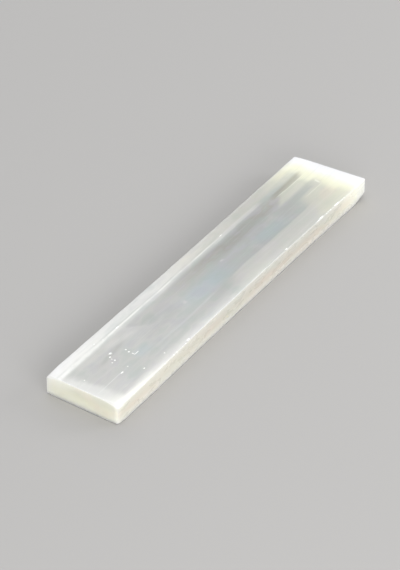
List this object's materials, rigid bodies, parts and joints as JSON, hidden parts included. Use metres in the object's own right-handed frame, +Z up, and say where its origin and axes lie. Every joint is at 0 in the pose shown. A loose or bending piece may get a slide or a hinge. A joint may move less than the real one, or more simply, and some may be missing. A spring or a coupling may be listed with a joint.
{
  "type": "selenite slab",
  "caption": "Long flat slab of polished fibrous selenite with eased edges, laid flat as a display piece or a rest for small stones.",
  "frame": {"origin": "middle of the underside, on the surface that the slab rests on", "axes": "+X along the fibres and the length, away from the end with the pits; +Y across, towards the wide shallow facet; +Z up"},
  "size_m": [0.2044, 0.0386, 0.0104],
  "materials": {
    "selenite": "polished"
  },
  "bodies": {
    "root": {"slab": "selenite"}
  },
  "joints": []
}
